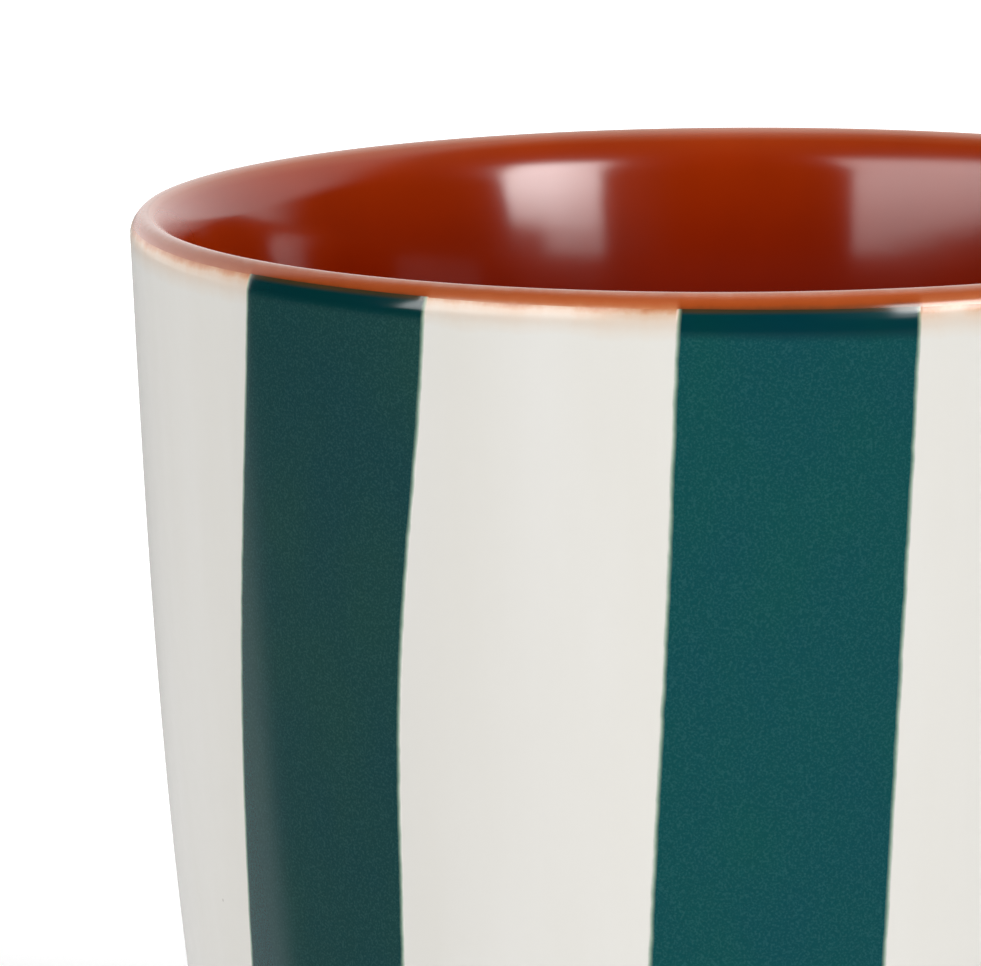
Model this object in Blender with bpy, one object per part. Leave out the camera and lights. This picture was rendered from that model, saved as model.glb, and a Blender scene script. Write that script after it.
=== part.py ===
"""Ceramic mug: a turned red-clay cup with a luted strap handle, a white slip coat outside,
broad painted stripes over the slip, and a rust-red glaze inside and over the lip.

Run in Blender 4.5. Metres, +Z up. The origin is the centre of the face the mug stands on, and
the handle points along +X. Angles round the cup are in degrees from -Y, positive towards +X.
"""
import math

import bmesh
import bpy
from mathutils import Vector

MM = 0.001

# Cup
HEIGHT = 90.0 * MM
SHOULDER_RADIUS = 42.5 * MM
LIP_OUTER = (1.04 * MM, 1.72 * MM)      # lip's outer quarter ellipse: radial and vertical half axes
LIP_INNER_DEPTH = 2.8 * MM              # where the lip's inner curve runs into the bore
LIP_THICKNESS = 3.0 * MM                # wall at the shoulder
WALL_TAPER = 0.0405                     # shoulder radii lost per shoulder radius of depth
WALL_TUCK = 0.0165                      # the same, growing with the cube of the depth
WALL_THICKNESS = 4.8 * MM
WALL_THICKENING = 9.0 * MM              # depth over which the thin lip grows into the full wall
BASE_CORNER_START = 7.6 * MM            # height where the wall turns under
BASE_CORNER_RADIUS = 8.0 * MM
BASE_CORNER_END_ANGLE = math.radians(75)
FLOOR_Z = 5.6 * MM
FLOOR_CORNER_RADIUS = 12.0 * MM
FOOT_CHAMFER = 0.5 * MM
SEGMENTS = 40

# Coats
GAP = 0.3 * MM
COAT = 0.35 * MM                        # glaze and slip thickness
CLAY_INSET = COAT + GAP
LIP_BAND = 1.1 * MM                     # how far the inside glaze comes down outside the lip

# Stripes
STRIPE_THICKNESS = 0.25 * MM
STRIPE_COLUMNS = 4
STRIPE_BOTTOM_Z = 4.6 * MM
# middle at the shoulder, half width at the shoulder, drift of the middle down to the base: degrees
STRIPES = {
    "stripe_1": (-40.5, 10.9, -11.5),
    "stripe_2": (5.6, 10.9, -6.0),
    "stripe_3": (59.0, 11.2, -2.0),
    "stripe_4": (121.0, 10.8, 2.5),
    "stripe_5": (170.0, 11.3, -3.0),
    "stripe_6": (217.0, 10.7, 3.0),
    "stripe_7": (259.5, 11.0, -2.0),
}

# Handle: half width along Y and half thickness of the clay at the top root, middle and low root
UPPER_ROOT_Z = 70.5 * MM
LOWER_ROOT_Z = 25.5 * MM
ROOT_STANDOFF = 4.2 * MM                # clay wall to the flat end of the handle
HANDLE_REACH = 73.0 * MM                # axis of the cup to the middle of the grip
HANDLE_SECTIONS = ((6.6 * MM, 3.9 * MM), (5.7 * MM, 3.3 * MM), (5.5 * MM, 3.2 * MM))
HANDLE_SIDES = 14
HANDLE_STEPS = 26
JOINT_FLARE = 2.4 * MM                  # how far the luting slip spreads round each root
JOINT_CURVE = 2.2                       # how late the joint spreads: 1 is a plain cone
JOINT_RINGS = 4
CUTTER_DEPTH = 8.0 * MM                 # reach of the slip's root holes either side of its surface
CUTTER_SIDES = 24

# Colours: linear base colour, roughness
MATERIALS = {
    "clay": ((0.44, 0.13, 0.045), 0.75),
    "inside_glaze": ((0.30, 0.035, 0.008), 0.08),
    "white_slip": ((0.80, 0.79, 0.74), 0.18),
    "teal_stripe": ((0.006, 0.085, 0.088), 0.22),
}

SHOULDER_Z = HEIGHT - LIP_OUTER[1]
LIP_TOP_RADIUS = SHOULDER_RADIUS - LIP_OUTER[0]
ACROSS = Vector((0, 1, 0))              # the handle lies in the XZ plane


def clear_scene():
    for old in list(bpy.data.objects):
        bpy.data.objects.remove(old, do_unlink=True)


def make_material(name):
    colour, roughness = MATERIALS[name]
    material = bpy.data.materials.new(name)
    material.use_nodes = True
    shader = material.node_tree.nodes["Principled BSDF"]
    shader.inputs["Base Color"].default_value = (*colour, 1.0)
    shader.inputs["Roughness"].default_value = roughness
    shader.inputs["Metallic"].default_value = 0.0
    return material


def add_object(name, bm, material, parent, smooth_angle=40):
    """Turn a closed bmesh into a named, smooth-shaded object under parent."""
    bmesh.ops.recalc_face_normals(bm, faces=bm.faces)
    mesh = bpy.data.meshes.new(name)
    bm.to_mesh(mesh)
    bm.free()
    mesh.shade_smooth()
    mesh.set_sharp_from_angle(angle=math.radians(smooth_angle))
    obj = bpy.data.objects.new(name, mesh)
    obj.data.materials.append(material)
    obj.parent = parent
    bpy.context.scene.collection.objects.link(obj)
    return obj


# Section lines: lists of (radius, height) in the plane through the cup's axis

def wall_radius(z):
    """Outer radius of the cup below the shoulder."""
    depth = (SHOULDER_Z - z) / SHOULDER_RADIUS
    return SHOULDER_RADIUS * (1 - WALL_TAPER * depth - WALL_TUCK * depth ** 3)


def wall_lean(z):
    """Angle of the outer wall from upright, positive where it narrows downwards."""
    depth = (SHOULDER_Z - z) / SHOULDER_RADIUS
    return math.atan(WALL_TAPER + 3 * WALL_TUCK * depth ** 2)


def bore_radius(z):
    """Inner radius of the cup: the wall is thin at the lip and thickens downwards."""
    thin = math.exp(-(SHOULDER_Z - z) / WALL_THICKENING)
    return wall_radius(z) - WALL_THICKNESS + (WALL_THICKNESS - LIP_THICKNESS) * thin


def lip_inner(depth):
    """Inner radius of the lip: level at the top, running straight into the bore at its foot."""
    foot = bore_radius(HEIGHT - LIP_INNER_DEPTH)
    slope = (bore_radius(HEIGHT - LIP_INNER_DEPTH + 0.1 * MM) - foot) / (0.1 * MM)
    reach = LIP_TOP_RADIUS - foot - slope * LIP_INNER_DEPTH
    arch = math.sqrt(1 - (1 - depth / LIP_INNER_DEPTH) ** 2)
    return LIP_TOP_RADIUS - reach * arch - slope * depth


def spaced(start, stop, count, crowd=1.0):
    """count + 1 values from start to stop, crowded towards start when crowd is over 1."""
    return [start + (stop - start) * (i / count) ** crowd for i in range(count + 1)]


def arc(centre, radius, start, stop, count):
    return [(centre[0] + radius * math.cos(a), centre[1] + radius * math.sin(a))
            for a in spaced(start, stop, count)]


def lip_outer(start, stop, count):
    """The lip's outer curve between two depths below the top."""
    turns = [math.acos(1 - depth / LIP_OUTER[1]) for depth in (start, stop)]
    return [(LIP_TOP_RADIUS + LIP_OUTER[0] * math.sin(a), HEIGHT - LIP_OUTER[1] * (1 - math.cos(a)))
            for a in spaced(*turns, count)]


def outside_line():
    """From just under the glazed lip down the wall and round the base corner to the foot."""
    shoulder = lip_outer(LIP_BAND + GAP, LIP_OUTER[1], 1)
    wall = [(wall_radius(z), z) for z in spaced(SHOULDER_Z, BASE_CORNER_START, 9)]
    lean = wall_lean(BASE_CORNER_START)
    centre = (wall[-1][0] - BASE_CORNER_RADIUS * math.cos(lean),
              wall[-1][1] + BASE_CORNER_RADIUS * math.sin(lean))
    corner = arc(centre, BASE_CORNER_RADIUS, -lean, -BASE_CORNER_END_ANGLE, 4)
    return shoulder + wall[1:] + corner[1:]


def lip_line():
    """Over the lip, from the foot of its inner curve to the glaze's outer edge."""
    depths = [LIP_INNER_DEPTH * (1 - math.sin(a)) for a in spaced(0, math.pi / 2, 4)]
    return [(lip_inner(depth), HEIGHT - depth) for depth in depths] + lip_outer(0.0, LIP_BAND, 3)[1:]


def inside_line():
    """From the middle of the floor out to its corner and up the bore to the lip."""
    corner_z = FLOOR_Z + FLOOR_CORNER_RADIUS
    corner_r = bore_radius(corner_z) - FLOOR_CORNER_RADIUS
    corner = arc((corner_r, corner_z), FLOOR_CORNER_RADIUS, -math.pi / 2, -math.radians(8), 4)
    top = HEIGHT - LIP_INNER_DEPTH
    bore = [(bore_radius(z), z) for z in reversed(spaced(top, corner_z, 7, 1.5))]
    return [(0.0, FLOOR_Z)] + corner + bore[1:-1]


def offset(line, distance):
    """Shift a section line to its right by distance, square to the line at each point."""
    shifted = []
    for i, (r, z) in enumerate(line):
        before = Vector(line[max(i - 1, 0)])
        after = Vector(line[min(i + 1, len(line) - 1)])
        run = (after - before).normalized()
        shifted.append((r + run.y * distance if r else 0.0, z - run.x * distance))
    return shifted


def turned(section):
    """Spin a section line round Z: a closed loop, or an open line that starts and ends on the axis."""
    bm = bmesh.new()
    verts = [bm.verts.new((r, 0.0, z)) for r, z in section]
    edges = [bm.edges.new(pair) for pair in zip(verts, verts[1:])]
    if section[0][0] or section[-1][0]:
        edges.append(bm.edges.new((verts[-1], verts[0])))
    bmesh.ops.spin(bm, geom=verts + edges, cent=(0, 0, 0), axis=(0, 0, 1), angle=math.tau,
                   steps=SEGMENTS, use_merge=True)
    bmesh.ops.remove_doubles(bm, verts=bm.verts, dist=0.01 * MM)
    return bm


# Pieces

def make_cup_body(parent, material):
    """The clay itself: everything inside the coats, down to the bare disc it stands on."""
    surface = inside_line() + lip_line() + outside_line()
    clay = offset(surface, CLAY_INSET)
    foot_radius = clay[-1][0]
    clay += [(foot_radius, FOOT_CHAMFER), (foot_radius - FOOT_CHAMFER, 0.0), (0.0, 0.0)]
    return add_object("cup_body", turned(clay), material, parent)


def make_inside_glaze(parent, material):
    """The glaze lining, carried over the lip and a little way down outside."""
    surface = inside_line() + lip_line()
    lining = surface + list(reversed(offset(surface, COAT)))
    return add_object("inside_glaze", turned(lining), material, parent)


def make_outside_slip(parent, material, root_cutters):
    """The white coat round the cup, open where the handle is luted to the clay."""
    surface = outside_line()
    coat = surface + list(reversed(offset(surface, COAT)))
    slip = add_object("outside_slip", turned(coat), material, parent)
    for cutter in root_cutters:
        cut = slip.modifiers.new("root_hole", "BOOLEAN")
        cut.operation = "DIFFERENCE"
        cut.solver = "EXACT"
        cut.object = cutter
    return slip


def make_stripe(name, parent, material):
    """One painted stripe: a thin curved slab that follows the wall and drifts as it goes down."""
    middle, half_width, drift = STRIPES[name]
    surface = outside_line()
    under = [p for p in offset(surface, -GAP) if p[1] > STRIPE_BOTTOM_Z]
    over = offset(surface, -GAP - STRIPE_THICKNESS)[:len(under)]
    bm = bmesh.new()
    sheets = []
    for line in (under, over):
        sheet = []
        for r, z in line:
            depth = (SHOULDER_Z - z) / SHOULDER_Z
            row = []
            for column in range(STRIPE_COLUMNS + 1):
                across = 2 * column / STRIPE_COLUMNS - 1
                angle = math.radians(middle + drift * depth + half_width * across)
                row.append(bm.verts.new((r * math.sin(angle), -r * math.cos(angle), z)))
            sheet.append(row)
        sheets.append(sheet)
    for sheet in sheets:
        for upper, lower in zip(sheet, sheet[1:]):
            for i in range(STRIPE_COLUMNS):
                bm.faces.new((upper[i], upper[i + 1], lower[i + 1], lower[i]))
    inner_rim, outer_rim = (rim_of(sheet) for sheet in sheets)
    for i in range(len(inner_rim)):
        j = (i + 1) % len(inner_rim)
        bm.faces.new((inner_rim[i], inner_rim[j], outer_rim[j], outer_rim[i]))
    return add_object(name, bm, material, parent)


def rim_of(sheet):
    """The vertices round the edge of a grid, in order."""
    right = [row[-1] for row in sheet[1:]]
    left = [row[0] for row in sheet[-2:0:-1]]
    return sheet[0] + right + sheet[-1][-2::-1] + left


def handle_path():
    """Middle of the handle as (point, direction) pairs in the XZ plane, top root to low root."""
    top, low = (Vector((wall_radius(z) + ROOT_STANDOFF - CLAY_INSET, 0, z))
                for z in (UPPER_ROOT_Z, LOWER_ROOT_Z))
    grip = Vector((HANDLE_REACH, 0, LOWER_ROOT_Z + 0.55 * (UPPER_ROOT_Z - LOWER_ROOT_Z)))
    span = UPPER_ROOT_Z - LOWER_ROOT_Z
    upper = (top, top + span * Vector((0.36, 0, 0.10)), grip + span * Vector((0.02, 0, 0.34)), grip)
    lower = (grip, grip - span * Vector((0.02, 0, 0.30)), low + span * Vector((0.34, 0, 0.06)), low)
    half = HANDLE_STEPS // 2
    return ([bezier(upper, step / half) for step in range(half)]
            + [bezier(lower, step / half) for step in range(half + 1)])


def bezier(controls, t):
    """Point and unit direction on a cubic curve."""
    a, b, c, d = controls
    s = 1 - t
    point = s ** 3 * a + 3 * s * s * t * b + 3 * s * t * t * c + t ** 3 * d
    slope = s * s * (b - a) + 2 * s * t * (c - b) + t * t * (d - c)
    return point, slope.normalized()


def handle_size(along):
    """Half width and half thickness of the clay at a fraction of the way along the handle."""
    top, middle, low = HANDLE_SECTIONS
    first, second, blend = (top, middle, along * 2) if along < 0.5 else (middle, low, along * 2 - 1)
    ease = blend * blend * (3 - 2 * blend)
    return tuple(p + (q - p) * ease for p, q in zip(first, second))


def handle_rings(bm, growth):
    """Oval rings square to the handle's path, grown by a coat's distance from the clay."""
    path = handle_path()
    rings = []
    for i, (point, direction) in enumerate(path):
        half_width, half_thickness = handle_size(i / (len(path) - 1))
        outward = direction.cross(ACROSS)
        ring = []
        for side in range(HANDLE_SIDES):
            angle = math.tau * side / HANDLE_SIDES
            ring.append(bm.verts.new(point + ACROSS * (half_width + growth) * math.cos(angle)
                                     + outward * (half_thickness + growth) * math.sin(angle)))
        rings.append(ring)
    return rings


def join_rings(bm, rings):
    for first, second in zip(rings, rings[1:]):
        for i in range(len(first)):
            j = (i + 1) % len(first)
            bm.faces.new((first[i], first[j], second[j], second[i]))


def make_handle(parent, material):
    bm = bmesh.new()
    rings = handle_rings(bm, 0.0)
    join_rings(bm, rings)
    bm.faces.new(rings[0])
    bm.faces.new(rings[-1])
    return add_object("handle", bm, material, parent)


def make_handle_slip(parent, material):
    """The white coat round the handle: a thin sleeve, open at both roots."""
    bm = bmesh.new()
    inner = handle_rings(bm, GAP)
    outer = handle_rings(bm, GAP + COAT)
    join_rings(bm, inner)
    join_rings(bm, outer)
    for end in (0, -1):
        join_rings(bm, (inner[end], outer[end]))
    return add_object("handle_slip", bm, material, parent)


def handle_root(end):
    """One end of the handle, 0 upper or -1 lower: its middle, way to the cup, outward side and size."""
    point, direction = handle_path()[end]
    half_width, half_thickness = handle_size(-end)
    to_cup = direction if end else -direction
    return point, to_cup, direction.cross(ACROSS), half_width, half_thickness


def make_joint(name, end, parent, material):
    """Luting slip between the cup and one root of the handle: it spreads into a fillet at the wall."""
    point, to_cup, outward, half_width, half_thickness = handle_root(end)
    start = point + to_cup * GAP
    wall_z = point.z + to_cup.z * ROOT_STANDOFF
    bm = bmesh.new()
    rings = []
    for step in range(JOINT_RINGS + 1):
        to_wall = step / JOINT_RINGS
        spread = to_wall ** JOINT_CURVE
        ring = []
        for side in range(HANDLE_SIDES):
            angle = math.tau * side / HANDLE_SIDES
            near = (start + ACROSS * half_width * math.cos(angle)
                    + outward * half_thickness * math.sin(angle))
            y = (half_width + JOINT_FLARE) * math.cos(angle)
            z = wall_z + outward.z * (half_thickness + JOINT_FLARE) * math.sin(angle)
            clay_radius = wall_radius(z) - CLAY_INSET / math.cos(wall_lean(z)) + GAP
            foot = Vector((math.sqrt(clay_radius ** 2 - y ** 2), y, z))
            ring.append(bm.verts.new((near.x + (foot.x - near.x) * to_wall,
                                      near.y + (foot.y - near.y) * spread,
                                      near.z + (foot.z - near.z) * spread)))
        rings.append(ring)
    join_rings(bm, rings)
    bm.faces.new(rings[0])
    open_edges = [edge for edge in bm.edges if edge.is_boundary]
    bmesh.ops.triangle_fill(bm, edges=open_edges, use_beauty=True)
    return add_object(name, bm, material, parent)


def make_root_cutter(name, end, parent, material):
    """Guide body that opens the slip coat round one joint."""
    point, to_cup, _, half_width, half_thickness = handle_root(end)
    wall_z = point.z + to_cup.z * ROOT_STANDOFF
    margin = JOINT_FLARE + 1.3 * GAP
    bm = bmesh.new()
    rings = []
    for x in (wall_radius(wall_z) - CUTTER_DEPTH, wall_radius(wall_z) + CUTTER_DEPTH):
        ring = []
        for side in range(CUTTER_SIDES):
            angle = math.tau * side / CUTTER_SIDES
            ring.append(bm.verts.new((x, (half_width + margin) * math.cos(angle),
                                      wall_z + (half_thickness + margin) * math.sin(angle))))
        rings.append(ring)
    join_rings(bm, rings)
    bm.faces.new(rings[0])
    bm.faces.new(rings[1])
    cutter = add_object(name, bm, material, parent)
    cutter.hide_render = True
    cutter.display_type = "WIRE"
    return cutter


def main():
    clear_scene()
    mug = bpy.data.objects.new("mug", None)
    bpy.context.scene.collection.objects.link(mug)
    materials = {name: make_material(name) for name in MATERIALS}
    cutters = [make_root_cutter(name, end, mug, materials["clay"])
               for name, end in (("upper_root_cutter", 0), ("lower_root_cutter", -1))]
    make_cup_body(mug, materials["clay"])
    make_inside_glaze(mug, materials["inside_glaze"])
    make_outside_slip(mug, materials["white_slip"], cutters)
    make_handle(mug, materials["clay"])
    make_handle_slip(mug, materials["white_slip"])
    make_joint("handle_joint_upper", 0, mug, materials["clay"])
    make_joint("handle_joint_lower", -1, mug, materials["clay"])
    for name in STRIPES:
        make_stripe(name, mug, materials["teal_stripe"])


main()
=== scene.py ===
"""Ceramic mug: the looks. Builds the glazed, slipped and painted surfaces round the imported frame.

Metres, +Z up, origin at the centre of the standing face, handle along +X, camera on the -Y side.
Angles round the cup are in radians from -Y, positive towards +X. Depths are measured down from the lip.
"""
import math

import bpy
import numpy as np
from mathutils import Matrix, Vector


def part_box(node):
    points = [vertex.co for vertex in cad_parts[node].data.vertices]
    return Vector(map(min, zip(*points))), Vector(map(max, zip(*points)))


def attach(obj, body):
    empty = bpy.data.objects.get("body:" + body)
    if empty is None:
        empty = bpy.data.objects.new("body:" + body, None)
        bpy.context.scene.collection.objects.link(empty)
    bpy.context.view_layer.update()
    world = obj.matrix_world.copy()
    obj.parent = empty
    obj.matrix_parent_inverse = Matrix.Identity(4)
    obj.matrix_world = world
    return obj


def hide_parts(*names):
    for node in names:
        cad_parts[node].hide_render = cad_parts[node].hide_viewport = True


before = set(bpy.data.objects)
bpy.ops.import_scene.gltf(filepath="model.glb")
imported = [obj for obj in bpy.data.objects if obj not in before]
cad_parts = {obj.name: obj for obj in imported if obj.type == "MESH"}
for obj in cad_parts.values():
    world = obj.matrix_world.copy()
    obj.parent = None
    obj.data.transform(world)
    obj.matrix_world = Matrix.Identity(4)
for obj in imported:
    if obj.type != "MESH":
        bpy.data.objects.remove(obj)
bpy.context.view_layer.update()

MM = 0.001

# The cup's outline, as part.py draws it
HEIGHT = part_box("inside_glaze")[1].z
SHOULDER_RADIUS = 42.5 * MM
LIP_CURVE = 1.72 * MM                   # depth from which the wall's taper is measured
LIP_INNER_DEPTH = 2.8 * MM              # where the lip's inner curve runs into the bore
LIP_THICKNESS = 3.0 * MM
WALL_TAPER = 0.0405
WALL_TUCK = 0.0165
WALL_THICKNESS = 4.8 * MM
WALL_THICKENING = 9.0 * MM
BASE_CORNER_START = 7.6 * MM
BASE_CORNER_RADIUS = 8.0 * MM
BASE_CORNER_END = math.radians(75)
FLOOR_Z = 5.6 * MM
FLOOR_CORNER_RADIUS = 12.0 * MM
COAT = 0.35 * MM
CLAY_CLEARANCE = 0.02 * MM              # between a coat's back and the clay

# Mesh density: rows down the section and columns round the cup
COLUMNS = 384
CLAY_COLUMNS = 192
LIP_ROWS = 26
WALL_ROWS = 74
CORNER_ROWS = 16
LIP_ROWS_END = 4.2 * MM                 # depth below which the rows are wider apart
FLOOR_ROWS = 10
FLOOR_CORNER_ROWS = 20
FLOOR_CORNER_END = -math.radians(8)     # how steep the floor's corner is where the bore starts
BORE_ROWS = 60
BORE_CROWD = 1.6                        # above 1 the rows crowd towards the lip
INNER_LIP_ROWS = 24
OUTER_LIP_ROWS = 19
FLOOR_FIRST_RING = 2.0 * MM
SMALLEST_RING = 1.0 * MM

# The hand-finished edge changes round the cup: a value has a mean and what it gains with the swing
SWING_PHASE = math.radians(15)
CURVE_DEPTH = 2.4 * MM                  # foot of the lip's outer curve
CURVE_SWING = 0.85 * MM
LIP_REACH = (1.33 * MM, 0.12 * MM, -0.14 * MM)      # mean, with the swing, with its square
FULLNESS = 1.8                          # power of the outer curve: 2 is a quarter of an ellipse
FULLNESS_SWING = 1.4
FULLNESS_LIMITS = (1.35, 3.0)
EDGE_DEPTH = 0.99 * MM                  # where the rust glaze ends outside
EDGE_SWING = 0.26 * MM
EDGE_RIPPLE = 0.03 * MM

# Stripes: (angle at the lip, lean over the height, wobble, wobble phase) of each edge, in degrees
WOBBLES = 2.0
STRIPES = {
    "stripe_1": ((-51.3, -13.1, 0.19, 35), (-29.7, -10.9, 0.48, 50)),
    "stripe_2": ((-5.2, -7.1, 0.13, -103), (16.6, -5.1, 0.05, 22)),
    "stripe_3": ((47.8, -2.0, 0.35, 80), (70.2, -1.5, 0.22, 10)),
    "stripe_4": ((110.2, 2.8, 0.25, -40), (131.8, 2.0, 0.40, 120)),
    "stripe_5": ((158.7, -3.5, 0.40, 15), (181.3, -2.4, 0.20, -75)),
    "stripe_6": ((206.3, 3.4, 0.22, 100), (227.7, 2.6, 0.36, 5)),
    "stripe_7": ((248.5, -2.4, 0.30, -20), (270.5, -1.6, 0.25, 60)),
}
STRIPE_TOP = 1.0 * MM                   # mean depth of the top, which follows the rust glaze's edge
STRIPE_BOTTOM = 84.6 * MM
STRIPE_TUCK = 0.04 * MM                 # how far the top reaches over that edge
STRIPE_TOP_COVER = 0.8 * MM             # keeps the paint solid at the top
STRIPE_MARGIN = 0.10 * MM               # soft edge outside the painted line
STRIPE_RELIEF = 0.05 * MM
STRIPE_LIFT = 0.004 * MM
STRIPE_SHOULDER = 0.5 * MM              # width over which the paint thins at its sides
STRIPE_SHOULDER_POWER = 0.6
STRIPE_ROOT = 0.15 * MM                 # how far each stripe's slab reaches into the slip
STRIPE_SOFT_EDGE = 0.33 * MM            # how gradually the rust edge changes over a stripe's side
STRIPE_CORNER_TURN = 1.1                # bend round the base corner for each radius of fall
STRIPE_COLUMNS = 49
STRIPE_TOP_ROWS = 22
STRIPE_ROWS = 96
STRIPE_TOP_SHARE = 0.05                 # share of the height that the closer rows take

# Handle, as part.py draws it, with the slip's thickness on it
UPPER_ROOT_Z = 70.5 * MM
LOWER_ROOT_Z = 25.5 * MM
ROOT_STANDOFF = 4.2 * MM
HANDLE_REACH = 73.0 * MM
HANDLE_SECTIONS = ((6.6 * MM, 3.9 * MM), (5.7 * MM, 3.3 * MM), (5.5 * MM, 3.2 * MM))
HANDLE_COAT = 0.65 * MM
ROOT_FLARE = 3.4 * MM
INNER_FLARE_LESS = 0.2 * MM             # how much less the coat's inner face flares
ROOT_SINK = 0.03 * MM                   # how far the roots reach into the wall, outer and inner face
INNER_ROOT_SINK = 0.30 * MM
CLAY_INSET = 0.65 * MM                  # how far the CAD's clay lies inside the wall's surface
GRIP_SHARE = 0.55                       # height of the furthest point, as a share between the roots
OVAL_POWERS = (0.88, 0.92)              # below 1 the section is squarer than an ellipse
HANDLE_SIDES = 56
HANDLE_STEPS = 90
ROOT_STEPS = 14


# Outline -------------------------------------------------------------------------------------

def swing(angle):
    """-1 to 1 round the cup, and 1 where the lip's outer curve is deepest."""
    return np.sin(angle + SWING_PHASE)


def wall_radius(z):
    depth = (HEIGHT - LIP_CURVE - z) / SHOULDER_RADIUS
    return SHOULDER_RADIUS * (1 - WALL_TAPER * depth - WALL_TUCK * depth ** 3)


def wall_lean(z):
    depth = (HEIGHT - LIP_CURVE - z) / SHOULDER_RADIUS
    return math.atan(WALL_TAPER + 3 * WALL_TUCK * depth ** 2)


def lip_reach(angle):
    """How far the top of the lip lies inside the outer wall."""
    mean, gain, bow = LIP_REACH
    side = swing(angle)
    return mean + gain * side + bow * side ** 2


def outer_radius(depth, angle):
    """Outside of the cup: the lip's curve, then the tapering wall."""
    curve = CURVE_DEPTH + CURVE_SWING * swing(angle)
    fullness = np.clip(FULLNESS + FULLNESS_SWING * swing(angle), *FULLNESS_LIMITS)
    arch = np.sqrt(1 - (1 - np.minimum(depth / curve, 1)) ** fullness)
    return wall_radius(HEIGHT - depth) - lip_reach(angle) * (1 - arch)


def bore_radius(depth):
    """Inside of the cup below the lip's curve."""
    thin = np.exp(-(depth - LIP_CURVE) / WALL_THICKENING)
    return wall_radius(HEIGHT - depth) - WALL_THICKNESS + (WALL_THICKNESS - LIP_THICKNESS) * thin


def lip_inner_radius(depth, angle):
    """Inner curve of the lip: level at the top, and running straight into the bore at its foot."""
    top = wall_radius(HEIGHT) - lip_reach(angle)
    foot = bore_radius(LIP_INNER_DEPTH)
    slope = (bore_radius(LIP_INNER_DEPTH - 0.1 * MM) - foot) / (0.1 * MM)
    arch = np.sqrt(1 - (1 - depth / LIP_INNER_DEPTH) ** 2)
    return top - (top - foot - slope * LIP_INNER_DEPTH) * arch - slope * depth


def edge_depth(angle):
    """Depth of the rust glaze's lower edge outside the lip."""
    ripple = np.sin(7 * angle) * np.sin(3 * angle + 1)
    return EDGE_DEPTH + EDGE_SWING * swing(angle) + EDGE_RIPPLE * ripple


def corner_centre():
    """Radius and height of the base corner's middle, and the wall's lean where the corner starts."""
    lean = wall_lean(BASE_CORNER_START)
    return (wall_radius(BASE_CORNER_START) - BASE_CORNER_RADIUS * math.cos(lean),
            BASE_CORNER_START + BASE_CORNER_RADIUS * math.sin(lean), lean)


# Mesh helpers --------------------------------------------------------------------------------

def spaced(start, stop, count, crowd=1.0):
    return start + (stop - start) * np.linspace(0, 1, count) ** crowd


def around(columns=COLUMNS):
    return np.linspace(0, math.tau, columns, endpoint=False)


def to_points(radius, height, angle):
    radius, height, angle = np.broadcast_arrays(radius, height, angle)
    return np.stack([radius * np.sin(angle), -radius * np.cos(angle), height], axis=-1)


def thickened(radius, height, thickness):
    """A section's other side: each point moved square to the surface, to the right of its run."""
    dr = np.gradient(radius, axis=0)
    dz = np.gradient(height, axis=0)
    length = np.hypot(dr, dz)
    return radius + thickness * dz / length, height - thickness * dr / length


def add_mesh(name, verts, faces, material, body="root", sharp=35, attributes=()):
    mesh = bpy.data.meshes.new(name)
    mesh.from_pydata([tuple(v) for v in verts], [], faces)
    for label, values in attributes:
        mesh.attributes.new(label, "FLOAT", "POINT").data.foreach_set("value", values.astype(np.float32))
    mesh.validate()
    mesh.shade_smooth()
    mesh.set_sharp_from_angle(angle=math.radians(sharp))
    mesh.materials.append(material)
    obj = bpy.data.objects.new(name, mesh)
    bpy.context.scene.collection.objects.link(obj)
    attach(obj, body)
    return obj


def ring_faces(first, second, count):
    """Quads between two closed rings of count vertices that start at these indices."""
    step = np.arange(count)
    nxt = (step + 1) % count
    return np.stack([first + step, second + step, second + nxt, first + nxt], axis=-1).tolist()


def turned(points, poles=()):
    """Vertices and faces of a stack of closed rings: a loop of rings, or one closed by two poles."""
    rows, columns = points.shape[:2]
    verts = points.reshape(-1, 3)
    faces = []
    for row in range(rows - 1):
        faces += ring_faces(row * columns, (row + 1) * columns, columns)
    if len(poles) == 0:
        faces += ring_faces((rows - 1) * columns, 0, columns)
        return verts, faces
    verts = np.vstack([verts, poles])
    low, high = rows * columns, rows * columns + 1
    last = (rows - 1) * columns
    for i in range(columns):
        j = (i + 1) % columns
        faces.append((low, i, j))
        faces.append((high, last + j, last + i))
    return verts, faces


# Materials -----------------------------------------------------------------------------------

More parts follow.
